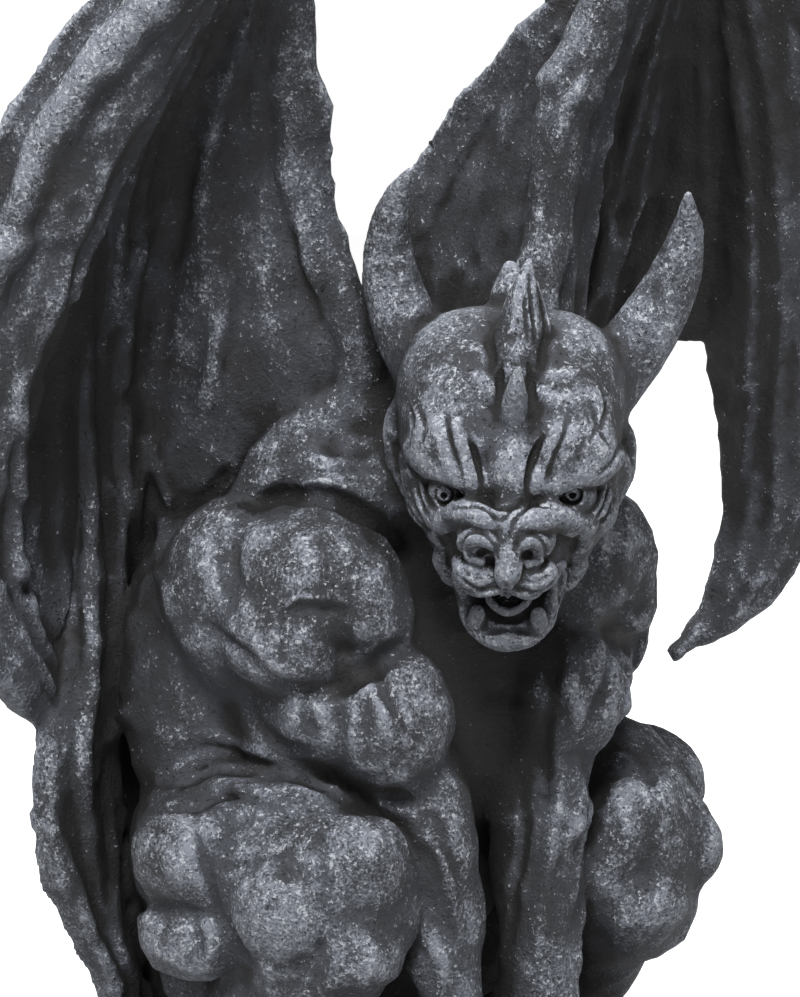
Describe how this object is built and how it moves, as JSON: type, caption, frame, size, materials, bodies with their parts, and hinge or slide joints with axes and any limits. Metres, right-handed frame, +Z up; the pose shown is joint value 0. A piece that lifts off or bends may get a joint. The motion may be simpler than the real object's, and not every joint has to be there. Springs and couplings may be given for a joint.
{
  "type": "stone gargoyle",
  "caption": "Crouching winged gargoyle with horned demon head, folded bat wings and clawed paws on a low rock base",
  "frame": {"origin": "middle of the flat underside of the rock base, centred on the bounding box", "axes": "+Z up; the body faces -Y and the head turns towards -X, its own right"},
  "size_m": [0.427, 0.2618, 0.577],
  "materials": {
    "cast_stone": "matte charcoal cast stone, dry-brushed grey on the raised forms"
  },
  "bodies": {
    "root": {"gargoyle": "cast_stone"}
  },
  "joints": []
}
